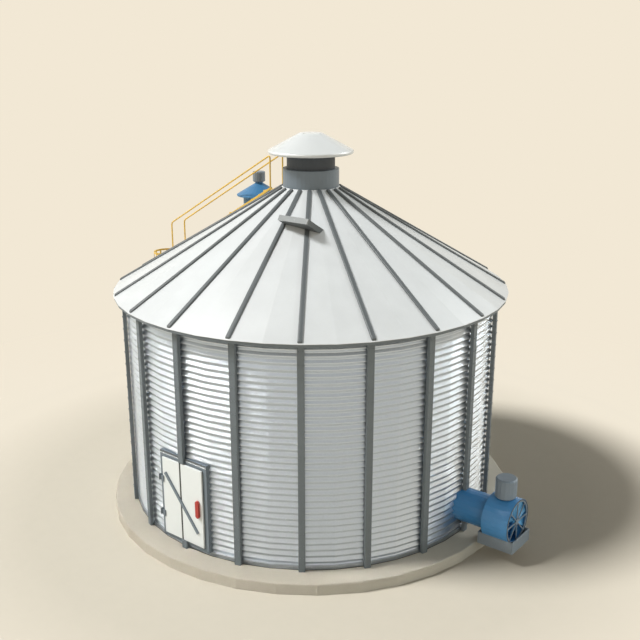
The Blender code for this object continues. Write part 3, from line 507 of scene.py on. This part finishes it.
def sheet_radius(height):
    """Outer radius of the sheet: flats between rounded folds, and upper rings lap over lower."""
    phase = (height - RIDGE_HEIGHT) / CORRUGATION_PITCH % 1.0
    off_ridge = min(phase, 1.0 - phase)
    off_valley = 0.5 - off_ridge
    rise = 2.0 * off_valley
    if off_ridge < FOLD_ROUNDING:
        rise = 1.0 - FOLD_ROUNDING - off_ridge ** 2 / FOLD_ROUNDING
    elif off_valley < FOLD_ROUNDING:
        rise = FOLD_ROUNDING + off_valley ** 2 / FOLD_ROUNDING
    above = sum(1 for seam in SEAMS if height < seam - NOUGHT)
    return WALL_RADIUS - CORRUGATION_DEPTH * (1.0 - rise) - LAP_STEP * above / SHEET_RINGS


def sheet_rows(foot, top):
    """Heights of the rows of corners: five round every fold."""
    rows = [foot]
    steps = (-FOLD_ROUNDING, -FOLD_ROUNDING / 2, 0.0, FOLD_ROUNDING / 2, FOLD_ROUNDING)
    for ridge in [RIDGE_HEIGHT - CORRUGATION_PITCH] + ridge_heights():
        for fold in (ridge, ridge + CORRUGATION_PITCH / 2):
            rows += [fold + step * CORRUGATION_PITCH for step in steps]
    return [row for row in rows if foot <= row < top - NOUGHT] + [top]


def side_point(radius, x):
    """Point at the given x on the front sides of the polygon with this corner radius."""
    step = SIDE_ANGLE * (1 if x > 0 else -1)
    corner = 0
    while abs(polar(radius, corner + step)[0]) < abs(x):
        corner += step
    (x0, y0), (x1, y1) = polar(radius, corner), polar(radius, corner + step)
    share = (x - x0) / (x1 - x0)
    return (x, y0 + share * (y1 - y0))


def corner_column(side):
    """Column on the corner before a side of the wall, counted from the door's middle."""
    return lambda radius: polar(radius, SIDE_ANGLE * side)


def door_column(x):
    """Column beside the door."""
    return lambda radius: side_point(radius, x)


def corrugated(name, node, columns, foot, top):
    """Sheet through upright columns; each column gives its plan point for a radius."""
    heights = sheet_rows(foot, top)
    count, last = len(heights), len(columns) - 1
    back = len(columns) * count
    shape = bmesh.new()
    corners = [shape.verts.new((*column(sheet_radius(height) - inset), height))
               for inset in (0.0, SHEET_THICKNESS) for column in columns for height in heights]
    faces = []
    for c in range(last):
        for h in range(count - 1):
            a, b = c * count + h, (c + 1) * count + h
            faces.append((a, b, b + 1, a + 1))
            faces.append((back + a, back + a + 1, back + b + 1, back + b))
        for h in (0, count - 1):
            a, b = c * count + h, (c + 1) * count + h
            faces.append((a, b, back + b, back + a))
    for c in (0, last):
        for h in range(count - 1):
            a = c * count + h
            faces.append((a, a + 1, back + a + 1, back + a))
    for face in faces:
        shape.faces.new([corners[i] for i in face])
    thing = add_piece(name, shape, GALVANISED, stands_for=[node])
    smooth_but(thing.data, 60)
    for edge in thing.data.edges:
        low, high = (thing.data.vertices[i].co for i in edge.vertices)
        if abs(low.z - high.z) > NOUGHT:
            edge.use_edge_sharp = True


def walls():
    """Six runs of sheet, split where the solid wall is."""
    edge = DOOR_SIDE + GAP
    for name, side in (("front_left", -1), ("front_right", 1)):
        columns = [door_column(side * edge)]
        columns += [corner_column(side * i) for i in range(2, QUARTER_SIDES // 2 + 1)]
        corrugated(f"sheets_{name}", f"wall_{name}", columns, WALL_FOOT, WALL_TOP)
    columns = [door_column(-edge + GAP)] + [corner_column(i) for i in (-1, 0, 1)]
    columns.append(door_column(edge - GAP))
    corrugated("sheets_over_door", "wall_over_door", columns, DOOR_TOP + GAP, WALL_TOP)
    for i, name in enumerate(("right", "back", "left")):
        start = QUARTER_SIDES // 2 + QUARTER_SIDES * i
        columns = [corner_column(start + k) for k in range(QUARTER_SIDES + 1)]
        corrugated(f"sheets_{name}", f"wall_{name}", columns, WALL_FOOT, WALL_TOP)


# Bolts


def bolt_template(head):
    """Hex head on a round washer, standing along +Z: places and faces."""
    places, faces = [], []

    def disc(radius_low, radius_high, low, high, sides):
        start = len(places)
        for radius, z in ((radius_low, low), (radius_high, high)):
            for i in range(sides):
                turn = 2 * math.pi * i / sides
                places.append((radius * math.cos(turn), radius * math.sin(turn), z))
        for i in range(sides):
            j = (i + 1) % sides
            faces.append((start + i, start + j, start + sides + j, start + sides + i))
        faces.append(tuple(start + sides + i for i in range(sides)))
        faces.append(tuple(start + i for i in reversed(range(sides))))

    washer, body, crown = head * 0.75, head * 0.58, head * 0.46
    seat, shoulder, top = head * 0.14, head * 0.62, head * 0.74
    disc(washer, washer * 0.94, 0.0, seat, 12)
    disc(body, body, seat, shoulder, 6)
    disc(body, crown, shoulder, top, 6)
    return places, faces


def bolts(name, spots, head, look):
    """All bolts of one kind as one piece; spots are (place, outward direction)."""
    template, template_faces = bolt_template(head)
    places, faces = [], []
    for place, outward in spots:
        turn = Vector(outward).to_track_quat("Z", "Y").to_matrix().to_4x4()
        stand = Matrix.Translation(place) @ turn
        start = len(places)
        places.extend((stand @ Vector(point))[:] for point in template)
        faces.extend(tuple(start + i for i in face) for face in template_faces)
    data = bpy.data.meshes.new(name)
    data.from_pydata(places, [], faces)
    smooth_but(data, 30)
    finish_piece(name, data, look)


def post_bolts():
    """Two columns of bolts down the front of each post, one at every second ridge."""
    above_door = DOOR_TOP + 0.1
    spread = 0.55    # of half a post's width
    spots = []
    for bay in range(BAYS):
        outward = Vector((*polar(1.0, bay * BAY_ANGLE), 0.0))
        across = Vector((*polar(1.0, bay * BAY_ANGLE + 90.0), 0.0))
        for height in ridge_heights()[1:-1:2]:
            if bay == 0 and height < above_door:
                continue
            for side in (-1, 1):
                off = across * side * POST_HALF * spread
                spots.append((outward * POST_FRONT + off + Vector((0, 0, height)), outward))
    bolts("post_bolts", spots, 0.018, GREY)


def spots_on_sides(radius, height, shares):
    """Places at shares of the way along every side of the wall, with the way each side faces."""
    for side in range(SIDES):
        near, far = (Vector(polar(radius, SIDE_ANGLE * (side + k))) for k in (0, 1))
        outward = Vector((*polar(1.0, SIDE_ANGLE * (side + 0.5)), 0.0))
        for share in shares:
            spot = near.lerp(far, share)
            yield Vector((spot.x, spot.y, height)), outward


def in_doorway(place):
    side, head = DOOR_SIDE + 0.03, DOOR_TOP + 0.05
    return abs(place.x) < side and place.y < 0 and place.z < head


def seam_bolts():
    """A row of bolts on the ridge over each lap between rings of sheet, three to a side."""
    spots = []
    for seam in SEAMS:
        height = seam + CORRUGATION_PITCH / 2
        spots += spots_on_sides(sheet_radius(height), height, (0.25, 0.5, 0.75))
    bolts("seam_bolts", [spot for spot in spots if not in_doorway(spot[0])], 0.012, GALVANISED)


def ring_bolts():
    """Bolts through the base ring's band, two to a side."""
    spots = spots_on_sides(WALL_RADIUS, (SLAB_TOP + WALL_FOOT) / 2, (0.3, 0.7))
    bolts("ring_bolts", spots, 0.016, RING_STEEL)


# Posts


def posts():
    names = [f"wall_post_{i:02d}" for i in range(1, BAYS)]
    for name in names + ["wall_post_over_door", "wall_post_foot_at_door"]:
        dress(name, GREY, 0.008, 3)


# Roof


def roof_sheet():
    """Many-sided cone of coated sheet with a rolled eave."""
    roll = ROOF_SHEET / 2
    edge = EAVE_RADIUS - roll
    profile = [(ROOF_HOLE, roof_top(ROOF_HOLE) - ROOF_SHEET), (edge, roof_top(edge) - ROOF_SHEET)]
    profile += arc((edge, roof_top(edge) - roll), roll, -60, 60, 4)
    profile += [(ROOF_HOLE, roof_top(ROOF_HOLE))]
    thing = add_piece("roof_sheets", lathe(profile, SIDES), ROOF_WHITE,
                      stands_for=["roof"])
    flat_sided(thing.data, 40)


def eave_ring():
    """Band under the sheet's edge with its lower edge turned in."""
    low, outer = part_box("eave_ring")[0].z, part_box("eave_ring")[1].x
    inner, bend = outer - EAVE_BAND, outer - EAVE_LIP
    profile = [(inner, low), (bend, low)] + arc((bend, low + EAVE_LIP), EAVE_LIP, -60, 0, 3)
    profile += [(radius, roof_top(radius) - ROOF_SHEET - GAP) for radius in (outer, inner)]
    thing = add_piece("eave_band", lathe(profile, SIDES), GREY,
                      stands_for=["eave_ring"])
    flat_sided(thing.data, 35)


def rib_section(share):
    """Rounded box section of a rib at a share of its full size: (across, up)."""
    points = []
    for i in range(RIB_STEPS + 1):
        turn = math.pi * i / RIB_STEPS
        across, up = math.cos(turn), math.sin(turn)
        across = math.copysign(abs(across) ** RIB_SQUARENESS, across)
        rise = RIB_HEIGHT * share * up ** RIB_SQUARENESS
        points.append((RIB_HALF_WIDTH * across * share, rise))
    return [(points[0][0], -RIB_SINK)] + points + [(points[-1][0], -RIB_SINK)]


def roof_ribs():
    """A rounded rib over every post, with rounded ends."""
    shape = bmesh.new()
    turns = [math.radians(angle) for angle in (0, 22, 45, 68)]
    ends = [(RIB_TIP * math.sin(turn), RIB_TIP_SHARE + (1.0 - RIB_TIP_SHARE) * math.cos(turn))
            for turn in turns]
    stations = [(RIB_OUTER - RIB_TIP + reach, share) for reach, share in reversed(ends)]
    stations += [(RIB_INNER + RIB_TIP - reach, share) for reach, share in ends]
    for bay in range(BAYS):
        turn = Matrix.Rotation(math.radians(bay * BAY_ANGLE), 4, "Z")
        rings = []
        for radius, share in stations:
            top = roof_top(radius)
            ring = [turn @ Vector((across, -radius, top + up)) for across, up in rib_section(share)]
            rings.append([shape.verts.new(place) for place in ring])
        loft(shape, rings)
    # The ribs take the darker grey: painted shade on their tops.
    thing = add_piece("roof_ribs", shape, SHADED_GREY, stands_for=["roof"])
    smooth_but(thing.data, 50)


# Peak


def peak_cap():
    """Spun cap with a thick rolled rim and a flat crown."""
    rim_x, rim_z = CAP_RADIUS - CAP_RIM_RADIUS, CAP_FOOT + CAP_RIM_RADIUS
    fall = math.degrees(math.atan2(CAP_TOP - rim_z - CAP_RIM_RADIUS, rim_x - CAP_CROWN))
    profile = arc((rim_x, rim_z), CAP_RIM_RADIUS, -90, 90 - fall, 12)
    bend = (CAP_CROWN - CROWN_BEND * 0.5, CAP_TOP - CROWN_BEND)
    profile += arc(bend, CROWN_BEND, 90 - fall, 90, 5)
    profile += [(0.0, CAP_TOP), (0.0, CAP_TOP - CAP_SKIN)]
    profile += [(CAP_CROWN, CAP_TOP - CAP_SKIN - CAP_SAG)]
    profile += [(rim_x - inwards, CAP_FOOT + up) for inwards, up in CAP_RETURN]
    thing = add_piece("cap_shell", lathe(profile, SIDES * 2), CAP_WHITE,
                      stands_for=["peak_cap"])
    smooth_but(thing.data, 50)


def peak():
    dress("peak_collar", COLLAR_GREY, 0.010, 3)
    # The throat is near-black: painted shade under the cap.
    dress("peak_throat", THROAT_SHADE, 0.004)
    peak_cap()


# Door


def hinge_covers():
    """Cast cover over each hinge on the leaf's face, and its fixed plate on the frame."""
    face, over_eye, front = LEAF_FRONT + GAP, 4.6985, 4.7140
    inner, outer = -0.586, -0.628
    cover = [(outer, -face), (inner, -face), (inner, -front), (HINGE_X, -front),
             (HINGE_X, -over_eye), (outer, -over_eye)]
    back, step, crest = FRAME_FRONT + GAP, FRAME_FRONT + 0.021, 4.703
    near, ridge, far = -0.711, -0.7445, -0.750
    fixed = [(far, -back), (near, -back), (near, -step), (ridge, -crest), (far, -crest)]
    half_height = 0.076
    for name, height in (("upper", 1.865), ("lower", 0.980)):
        low, high = height - half_height, height + half_height
        thing = add_piece(f"hinge_cover_{name}", upright(cover, low, high), COLLAR_GREY,
                          "door")
        soften(thing, 0.006, 3)
        thing = add_piece(f"hinge_plate_{name}", upright(fixed, low, high), COLLAR_GREY)
        soften(thing, 0.005, 2)


def head_shade_strip():
    """Dark drip strip over the top of the door's head, painted shade for the dark band there, with
    a bright rolled edge under it in light trim metal made bright to give the highlight line.
    """
    back, low, high = FRAME_FRONT + GAP, DOOR_TOP - 0.052, DOOR_TOP - 0.004
    skin, reach = 0.004, 0.010
    from_edge, from_post = DOOR_SIDE - 0.006, POST_HALF + 0.004
    bead = arc((back, low - reach), reach, -90, 90, 6)
    for side, near, far in (("left", -from_edge, -from_post), ("right", from_post, from_edge)):
        strip = [(near, -back), (far, -back), (far, -back - skin), (near, -back - skin)]
        # The strip is darker than the frame: painted shade along the top of the head.
        add_piece(f"head_shade_strip_{side}", upright(strip, low, high), SHADED_GREY)
        rolled = prism(*[[(x, -y, z) for y, z in bead] for x in (near, far)])
        # The rolled edge is light trim metal, bright to give the highlight line.
        thing = add_piece(f"head_highlight_bead_{side}", rolled, HIGHLIGHT_TRIM)
        smooth_but(thing.data, 40)


def door_leaf():
    """Leaf of two flat panels, and the seal in the joint between them."""
    low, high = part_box("door_leaf")[0].z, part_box("door_leaf")[1].z
    half, back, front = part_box("door_leaf")[1].x, LEAF_BACK, LEAF_FRONT
    left, right = JOINT_X - JOINT_HALF, JOINT_X + JOINT_HALF
    outline = [(-half, -back), (half, -back), (half, -front), (right, -front),
               (right, JOINT_DEPTH - front), (left, JOINT_DEPTH - front), (left, -front),
               (-half, -front)]
    thing = add_piece("leaf_panels", upright(outline, low, high), DOOR_WHITE,
                      "door", ["door_leaf"])
    soften(thing, 0.010, 3)
    groove, short = 0.006, 0.004
    lip, foot = front - groove, front - JOINT_DEPTH + GAP
    section = [(left + GAP, -foot), (right - GAP, -foot), (right - GAP, -lip),
               (JOINT_X + groove, groove - lip), (JOINT_X - groove, groove - lip),
               (left + GAP, -lip)]
    add_piece("door_joint_seal", upright(section, low + short, high - short), RUBBER,
              "door")


def hinge_eyes():
    """The eyes that the leaf hangs on, each with a strap to the leaf's edge."""
    bore, outer = 0.0127, 0.025
    start, end = HINGE_X + 0.0235, -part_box("door_leaf")[1].x - GAP
    back, front = 4.669, 4.685
    strap = [(start, -back), (end, -back), (end, -front), (start, -front)]
    for name, foot, head in (("upper", 1.8205, 1.879), ("lower", 0.9405, 0.999)):
        eye = lathe([(bore, foot), (outer, foot), (outer, head), (bore, head)], 32)
        thing = add_piece(f"hinge_eye_{name}", eye, COLLAR_GREY, "door",
                          ["door_leaf"])
        thing.data.transform(Matrix.Translation((HINGE_X, -HINGE_FRONT, 0.0)))
        smooth_but(thing.data, 40)
        add_piece(f"hinge_strap_{name}", upright(strap, foot, head), COLLAR_GREY,
                  "door")


def door():
    hinge_covers()
    head_shade_strip()
    dress("door_frame", COLLAR_GREY, 0.014, 3)
    dress("door_brace", COLLAR_GREY, 0.008, 3)
    dress("door_handle", RED, 0.012, 3)
    door_leaf()
    hinge_eyes()


# Fan


def fan_tray():
    """Pressed tray that the drum sits in, narrowed so that the drum's belly covers its rim."""
    low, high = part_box("fan_base")
    narrowed, skin, under_drum = 0.046, 0.030, 0.002
    low.y, high.y = low.y + narrowed, high.y - narrowed
    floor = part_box("fan_drum")[0].z - under_drum
    shape = bmesh.new()
    rings = []
    for inset, height in ((0.0, low.z), (0.0, high.z), (skin, high.z), (skin, floor)):
        corners = [(low.x + inset, low.y + inset), (high.x - inset, low.y + inset),
                   (high.x - inset, high.y - inset), (low.x + inset, high.y - inset)]
        rings.append([shape.verts.new((x, y, height)) for x, y in corners])
    loft(shape, rings)
    thing = add_piece("fan_tray", shape, TRAY_GREY, stands_for=["fan_base"])
    soften(thing, 0.008, 3)


def grille_shade_seal():
    """Dark seal round the grille, just proud of the drum's open end; its dark rubber is painted
    shade for the gap between drum and grille.
    """
    low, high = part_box("fan_drum")
    middle, drum_radius = (low.z + high.z) / 2, (high.z - low.z) / 2
    inner, crest, outer = drum_radius - 0.029, drum_radius - 0.013, drum_radius - 0.010
    edge, proud = 0.004, 0.007
    profile = [(inner, 0.0), (outer, 0.0), (outer, edge), (crest, proud), (inner, proud)]
    thing = add_piece("grille_shade_seal", lathe(profile, 64), RUBBER)
    turn = Matrix.Rotation(math.radians(90), 4, "Y")
    thing.data.transform(Matrix.Translation((high.x + GAP, 0, middle)) @ turn)
    smooth_but(thing.data, 40)


def fan():
    # The duct takes the darker blue: painted shade.
    dress("fan_duct", SHADED_DUCT_BLUE, 0.006)
    dress("fan_drum", DRUM_BLUE, 0.022, 4)
    dress("fan_wheel", WHEEL_BLUE, 0.004)
    dress("fan_grille", FAN_GREY, 0.006)
    fan_tray()
    grille_shade_seal()
    dress("fan_motor", FAN_GREY, 0.012, 3)


# Access and roof gear


def access():
    for node in ("roof_stair", "wall_ladder", "ladder_cage"):
        dress(node, YELLOW, 0.003)
    for node in ("handrail_front", "handrail_back"):
        dress(node, YELLOW)


def roof_gear():
    # The hatch body takes the darker grey that stands for shade.
    dress("roof_hatch_body", SHADED_GREY, 0.006)
    # The lid takes the darkened white: painted shade.
    dress("roof_hatch_lid", SHADED_LID_WHITE, 0.045, 6)
    dress("exhauster_housing", HOOD_BLUE, 0.006)
    dress("exhauster_cap", HOOD_BLUE)
    dress("exhauster_motor", TRAY_GREY, 0.008, 3)


# Stage, light and camera

BACKDROP = (0.888, 0.807, 0.665)
SKY_MIDDLE = (0.540, 0.545, 0.535)
SKY_TOP = (0.050, 0.052, 0.052)
MIDDLE_FROM, MIDDLE_TO = 0.35, 0.60      # how steeply a ray rises, from 0 to 1
TOP_FROM, TOP_TO = 0.78, 0.86

# The near floor colour is darker than the far one: painted shade round the silo.
FLOOR_NEAR_SHADED = (0.424, 0.396, 0.335)
FLOOR_FAR = (0.510, 0.472, 0.404)
FLOOR_RADIUS = 120.0
FAR_FROM, FAR_TO = 7.2, 10.2             # metres from the silo's axis
BACKDROP_FROM, BACKDROP_TO = 11.0, 17.0

KEY_PLACE = (-46.0, 50.6, 14.3)          # azimuth, elevation and spread of a light in degrees
KEY_COLOUR = (1.0, 0.990, 0.970)
PLAIN = (1.0, 1.0, 1.0)
RIM_ELEVATION, RIM_SPREAD, RIM_POWER = 34.0, 50.0, 3.0
LIGHT_DISTANCE = 30.0

CAMERA_PLACE = (13.92, -17.36, 11.54)
CAMERA_FORWARD = (-0.590, 0.751, -0.296)
FOCAL_PIXELS = 911.63
IMAGE_PIXELS = 640
SENSOR_WIDTH = 36.0
CLIP_END = 400.0


def floor_material():
    """Pale matt floor, a little lighter away from the object because the near part carries painted
    shade from the silo, that runs out into the backdrop.
    """
    made, shader = new_material("studio_floor", FLOOR_NEAR_SHADED, 0.9)
    shader.inputs["Specular IOR Level"].default_value = 0.1
    distance = add_node(made, "ShaderNodeVectorMath", operation="LENGTH")
    link(made, object_place(made), distance.inputs[0])
    radius = distance.outputs["Value"]
    grain = noise(made, scale=3.0, detail=4.0)
    near = overlaid(made, shade(FLOOR_NEAR_SHADED, 0.99), grain, 1.0, shade(FLOOR_NEAR_SHADED, 1.01))
    # Painted shade: the floor is darker near the silo and lightens out to the far colour.
    tone = overlaid(made, near, radius, 1.0, FLOOR_FAR, FAR_FROM, FAR_TO)
    link(made, tone, shader.inputs["Base Color"])
    backdrop = add_node(made, "ShaderNodeEmission", Strength=1.0)
    backdrop.inputs["Color"].default_value = (*BACKDROP, 1.0)
    mix = add_node(made, "ShaderNodeMixShader")
    link(made, ranged(made, radius, 0.0, 1.0, BACKDROP_FROM, BACKDROP_TO), mix.inputs["Fac"])
    link(made, shader.outputs["BSDF"], mix.inputs[1])
    link(made, backdrop.outputs["Emission"], mix.inputs[2])
    link(made, mix.outputs["Shader"], made.node_tree.nodes["Material Output"].inputs["Surface"])
    return made


def stage_disc():
    shape = bmesh.new()
    bmesh.ops.create_circle(shape, cap_ends=True, radius=FLOOR_RADIUS, segments=96)
    data = bpy.data.meshes.new("studio_floor")
    shape.to_mesh(data)
    shape.free()
    data.materials.append(floor_material())
    thing = bpy.data.objects.new("studio_floor", data)
    bpy.context.scene.collection.objects.link(thing)


def sky():
    """Studio wall all round, as bright as the backdrop, and a dimmer ceiling."""
    world = bpy.data.worlds.new("studio_world")
    world.use_nodes = True
    direction = add_node(world, "ShaderNodeTexCoord")
    parts = add_node(world, "ShaderNodeSeparateXYZ")
    link(world, direction.outputs["Generated"], parts.inputs["Vector"])
    rise = parts.outputs["Z"]
    low = overlaid(world, BACKDROP, rise, 1.0, SKY_MIDDLE, MIDDLE_FROM, MIDDLE_TO)
    whole = overlaid(world, low, rise, 1.0, SKY_TOP, TOP_FROM, TOP_TO)
    link(world, whole, world.node_tree.nodes["Background"].inputs["Color"])
    bpy.context.scene.world = world


def far_light(name, place, power, colour, lit=None):
    """A large far softbox at (azimuth, elevation, how wide it looks from the silo), in degrees.
    Given things to light, it lights nothing else."""
    azimuth, elevation, spread = place
    data = bpy.data.lights.new(name, "SUN")
    data.angle = math.radians(spread)
    data.energy = power
    data.color = colour
    thing = bpy.data.objects.new(name, data)
    rise = math.radians(elevation)
    x, y = polar(math.cos(rise), azimuth)
    towards = Vector((x, y, math.sin(rise)))
    thing.location = towards * LIGHT_DISTANCE
    thing.rotation_euler = (-towards).to_track_quat("-Z", "Y").to_euler()
    bpy.context.scene.collection.objects.link(thing)
    if lit:
        group = bpy.data.collections.new("lit_by_" + name)
        for piece in lit:
            group.objects.link(piece)
        thing.light_linking.receiver_collection = group
    return thing


def lights():
    """Key and wide fill at the left, a cool back light at the right that is kept off the floor,
    weaker lights for single kinds of pieces, and three that the peak's cap reflects."""
    meshes = [thing for thing in bpy.context.scene.objects if thing.type == "MESH"]
    floor = [thing for thing in meshes if thing.name == "studio_floor"]
    silo = [thing for thing in meshes if thing.name != "studio_floor"]
    cap = [thing for thing in meshes if thing.name == "cap_shell"]
    sheets = [thing for thing in meshes if thing.name.startswith("sheets_")]
    low = [thing for thing in meshes if thing.name.startswith(("slab_", "fan_"))]
    far_light("side_fill", (-80.0, 18.0, 70.0), 0.27, (0.70, 0.90, 1.0))
    far_light("key_light", KEY_PLACE, 3.8, KEY_COLOUR)
    far_light("floor_key", KEY_PLACE, 1.40, KEY_COLOUR, floor)
    far_light("back_light", (152.0, 32.0, 16.0), 1.4, (0.92, 0.98, 1.0), silo)
    far_light("right_fill", (65.0, 20.0, 50.0), 0.60, (0.65, 0.88, 1.0), low)
    far_light("sheet_fill", (138.0, 46.0, 40.0), 0.04, (0.50, 0.78, 1.0), sheets)
    far_light("sheet_key", (0.0, 53.0, 20.0), 0.11, PLAIN, sheets)
    for name, azimuth in (("rim_left", -62.0), ("rim_middle", -8.0), ("rim_right", 150.0)):
        light = far_light(name, (azimuth, RIM_ELEVATION, RIM_SPREAD), RIM_POWER, PLAIN, cap)
        light.visible_diffuse = False


def camera():
    """The photograph's view, worked out from the silo's own sizes in it."""
    data = bpy.data.cameras.new("camera")
    data.sensor_width = SENSOR_WIDTH
    data.lens = FOCAL_PIXELS / IMAGE_PIXELS * data.sensor_width
    data.clip_end = CLIP_END
    thing = bpy.data.objects.new("camera", data)
    thing.location = CAMERA_PLACE
    thing.rotation_euler = Vector(CAMERA_FORWARD).to_track_quat("-Z", "Y").to_euler()
    bpy.context.scene.collection.objects.link(thing)
    bpy.context.scene.camera = thing


def colour_management():
    bpy.context.scene.view_settings.view_transform = "Standard"
    bpy.context.scene.view_settings.look = "None"


slab()
base_ring()
walls()
post_bolts()
seam_bolts()
ring_bolts()
posts()
roof_sheet()
eave_ring()
roof_ribs()
peak()
door()
fan()
access()
roof_gear()
stage_disc()
lights()
sky()
camera()
colour_management()
